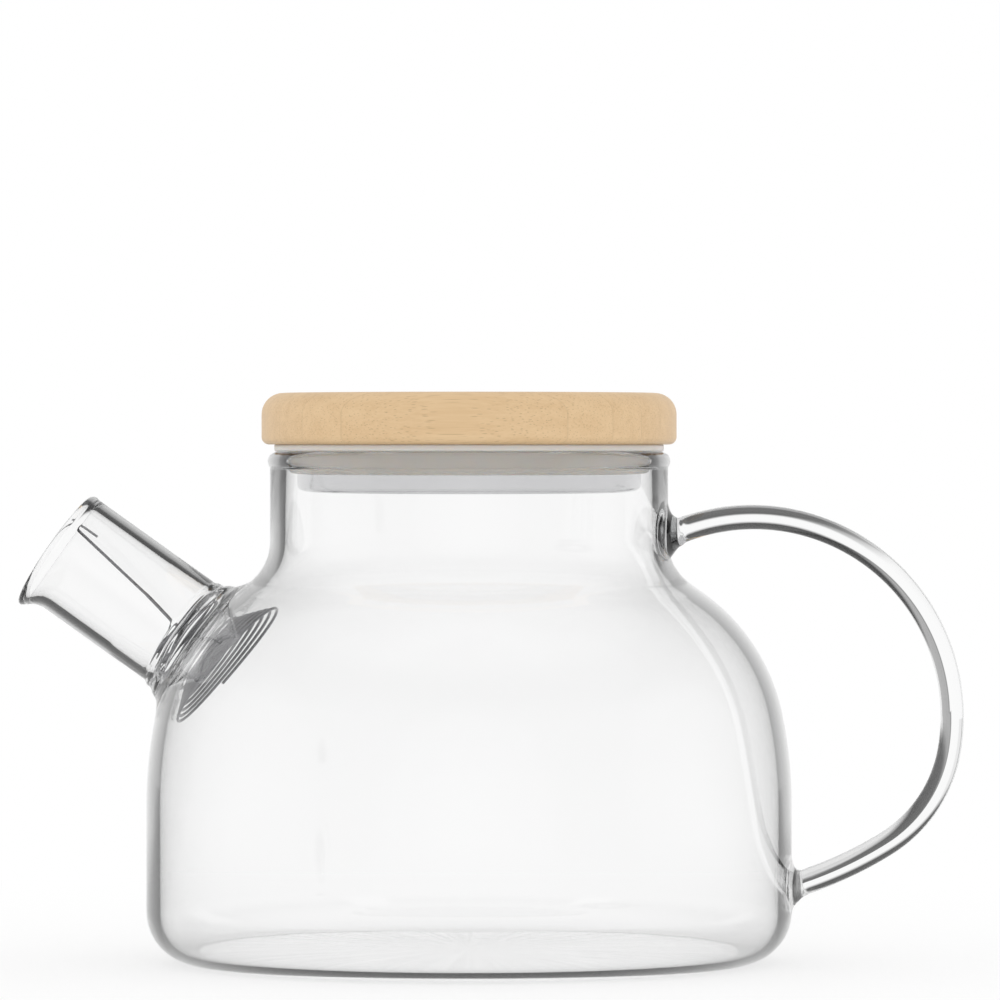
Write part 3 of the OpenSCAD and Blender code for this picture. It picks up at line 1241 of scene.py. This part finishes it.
    def light(self) -> None:
        """Make the surroundings: white as seen, greyer in reflections, with dark flags for the glass."""
        world = bpy.data.worlds.new("studio")
        bpy.context.scene.world = world
        tree = Tree(world)
        way = tree.add("TexCoord").outputs["Generated"]
        parts = tree.add("SeparateXYZ", {0: way})
        up = tree.math("MULTIPLY", tree.math("ADD", parts.outputs[2], 1.0), 0.5)
        turn = tree.math("ARCTAN2", parts.outputs[1], parts.outputs[0])
        front = tree.math("COSINE", tree.math("SUBTRACT", turn, math.radians(90 + self.azimuth)))
        ahead = tree.ramp(front, [(0.0, 0.0), (0.35, 0.0), (0.65, 1.0)])
        rod = tree.ramp(up, [(0.0, 0.13), (0.41, 0.15), (0.465, 1.0), (0.6, 1.0), (0.67, 0.08), (0.9, 0.1)])
        rod = tree.mix(ahead, (0.95, 0.95, 0.95), tree.mix(1.0, rod, self.beside(tree, turn), "MULTIPLY"))
        inner = self.within(tree, turn, parts.outputs[2])
        behind = tree.ramp(up, [(0.0, 0.4), (0.3, 0.55), (0.43, 0.93), (0.57, 0.93), (0.7, 0.5), (0.9, 1.0)])
        outer = tree.ramp(up, [(0.0, 0.6), (0.43, 1.0), (0.7, 0.95), (0.8, 0.5), (0.86, 0.5), (0.93, 1.0)])
        wave = tree.math("MULTIPLY", tree.math("COSINE", tree.math("MULTIPLY", turn, 4.0)), -1.0)
        panel = tree.ramp(wave, [(0.0, 0.0), (0.8, 0.0), (0.92, 1.0)])
        band = tree.ramp(up, [(0.0, 0.0), (0.55, 0.0), (0.6, 1.0), (0.75, 1.0), (0.82, 0.0)])
        lit = tree.math("MULTIPLY", panel, band)
        behind = tree.mix(lit, behind, (1.2, 1.2, 1.2))
        bent, mirrored, far = self.paths(tree)
        path = tree.add("LightPath")
        glossy = tree.math("GREATER_THAN", path.outputs["Glossy Depth"], 0.5)
        seen = tree.mix(glossy, WHITE, outer)
        seen = tree.mix(bent, seen, rod)
        seen = tree.mix(mirrored, seen, inner)
        seen = tree.mix(far, seen, behind)
        glow = tree.add("Background", {"Color": seen, "Strength": 1.0})
        tree.add("OutputWorld", {"Surface": glow.outputs[0]})
        world.cycles.sampling_method = "NONE"

    def build(self) -> None:
        """Set the whole stage."""
        self.camera()
        self.floor()
        self.light()
        scene = bpy.context.scene
        scene.view_settings.view_transform = "Standard"
        scene.cycles.max_bounces = 32
        scene.cycles.transmission_bounces = 32
        scene.cycles.glossy_bounces = 16
        LOG.info("studio set")


def main() -> None:
    """Build the teapot piece by piece, then the studio."""
    logging.basicConfig(level=logging.INFO, format="%(name)s: %(message)s")
    vessel = Vessel()
    vessel.build(ClearGlass().build())
    # Painted shade: the wire's steel is given a dark grey that stands in for the dark surroundings it mirrors
    wire = BrightSteel("drawn_wire_painted_shade", colour=(0.24, 0.24, 0.25), roughness=0.16)
    Strainer(vessel.spout_frame(), vessel.spout_len).build(wire.build())
    lid = Lid()
    lid.disc(
        # Painted shade: the underside's bamboo is a darker copy of the same bamboo as the top and edge
        Bamboo("bamboo_underside_painted_shade", light=(0.62, 0.36, 0.16), dark=(0.38, 0.19, 0.07)).build(),
        Bamboo("bamboo_edge", light=(0.80, 0.58, 0.34), dark=(0.60, 0.38, 0.18)).build())
    lid.cup(TurnedSteel().build(), BrightSteel("polished_steel").build())
    lid.seal(MilkySilicone().build())
    Studio().build()


if __name__ == "__main__":
    main()
